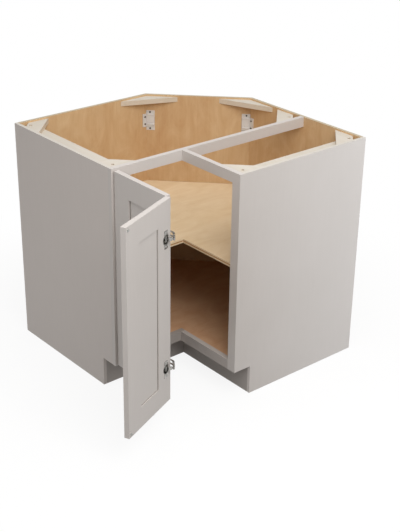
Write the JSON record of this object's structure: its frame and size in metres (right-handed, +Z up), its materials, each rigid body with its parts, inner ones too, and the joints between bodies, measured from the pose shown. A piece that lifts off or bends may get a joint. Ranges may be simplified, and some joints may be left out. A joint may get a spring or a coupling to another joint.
{
  "type": "easy reach corner base cabinet",
  "caption": "Framed corner base cabinet with a clipped back, open top, L-shaped shelf and a folding pair of recessed-panel doors that swing on wide-opening hinges.",
  "frame": {"origin": "on the floor in the middle of the square footprint, under the diagonal support", "axes": "+Z up; the left wall is at -X, the right wall at +Y, and the doors open towards +X and -Y"},
  "size_m": [1.0161, 1.1622, 0.8763],
  "materials": {
    "paint": "satin warm grey paint",
    "plywood": "clear satin maple plywood",
    "brace": "pale sanded wood",
    "bracket": "matte off-white",
    "nickel": "nickel plated",
    "bumper": "clear soft plastic"
  },
  "bodies": {
    "cabinet": {"back_left_gusset": "brace", "back_right_gusset": "brace", "base_support": "plywood", "beam_gusset": "brace", "bottom_panel": "plywood", "diagonal_back_panel": "plywood", "front_left_gusset": "brace", "front_right_gusset": "brace", "left_back_panel": "plywood", "left_bottom_rail": "paint", "left_seam_brace": "brace", "left_seam_bracket": "bracket", "left_side_panel": "paint", "left_side_stretcher": "brace", "left_stile": "paint", "left_toe_board": "paint", "left_top_rail": "paint", "lower_frame_hinge_base": "nickel", "right_back_panel": "plywood", "right_bottom_rail": "paint", "right_seam_brace": "brace", "right_seam_bracket": "bracket", "right_side_panel": "paint", "right_side_stretcher": "brace", "right_stile": "paint", "right_toe_board": "paint", "right_top_rail": "paint", "shelf": "plywood", "shelf_pins": "nickel", "upper_frame_hinge_base": "nickel"},
    "left_door": {"left_door_bottom_rail": "paint", "left_door_inner_stile": "paint", "left_door_outer_stile": "paint", "left_door_panel": "paint", "left_door_top_rail": "paint", "lower_fold_arm": "nickel", "lower_frame_cup": "nickel", "upper_fold_arm": "nickel", "upper_frame_cup": "nickel"},
    "levers": {"lower_frame_lever": "nickel", "upper_frame_lever": "nickel"},
    "second_levers": {"lower_second_lever": "nickel", "upper_second_lever": "nickel"},
    "couplers": {"lower_frame_coupler": "nickel", "upper_frame_coupler": "nickel"},
    "fold_levers": {"lower_fold_lever": "nickel", "upper_fold_lever": "nickel"},
    "fold_couplers": {"lower_fold_coupler": "nickel", "upper_fold_coupler": "nickel"},
    "right_door": {"door_bumpers": "bumper", "lower_fold_cup": "nickel", "right_door_bottom_rail": "paint", "right_door_inner_stile": "paint", "right_door_outer_stile": "paint", "right_door_panel": "paint", "right_door_top_rail": "paint", "upper_fold_cup": "nickel"}
  },
  "joints": [
    {"name": "left_door_hinge", "type": "hinge", "parent": "cabinet", "child": "left_door", "pos_m": [0.16695, -0.44265, 0.4953], "axis": [0, 0, -1], "range_deg": [-90, 75]},
    {"name": "lever_swing", "type": "hinge", "parent": "cabinet", "child": "levers", "pos_m": [0.1474, -0.4041, 0.4953], "axis": [0, 0, -1], "range_deg": [-90.3, 75.3]},
    {"name": "second_lever_swing", "type": "hinge", "parent": "cabinet", "child": "second_levers", "pos_m": [0.1384, -0.3977, 0.4953], "axis": [0, 0, -1], "range_deg": [-90.3, 75.3]},
    {"name": "coupler_swing", "type": "hinge", "parent": "levers", "child": "couplers", "pos_m": [0.1553, -0.3956, 0.4953], "axis": [0, 0, 1], "range_deg": [-90.3, 75.3]},
    {"name": "right_door_hinge", "type": "hinge", "parent": "left_door", "child": "right_door", "pos_m": [0.43515, -0.45015, 0.4953], "axis": [0, 0, 1], "range_deg": [-22.89, 19.12]},
    {"name": "fold_lever_swing", "type": "hinge", "parent": "left_door", "child": "fold_levers", "pos_m": [0.4482, -0.4274, 0.4953], "axis": [0, 0, 1], "range_deg": [-22.89, 19.12]},
    {"name": "fold_coupler_swing", "type": "hinge", "parent": "fold_levers", "child": "fold_couplers", "pos_m": [0.47229, -0.44521, 0.4953], "axis": [0, 0, -1], "range_deg": [-22.89, 19.12]}
  ],
  "couplings": [
    {"joint": "lever_swing", "follows": "left_door_hinge", "ratio": 1},
    {"joint": "second_lever_swing", "follows": "left_door_hinge", "ratio": 1},
    {"joint": "coupler_swing", "follows": "left_door_hinge", "ratio": 1},
    {"joint": "right_door_hinge", "follows": "left_door_hinge", "ratio": 0.251},
    {"joint": "fold_lever_swing", "follows": "left_door_hinge", "ratio": 0.251},
    {"joint": "fold_coupler_swing", "follows": "left_door_hinge", "ratio": 0.251}
  ]
}
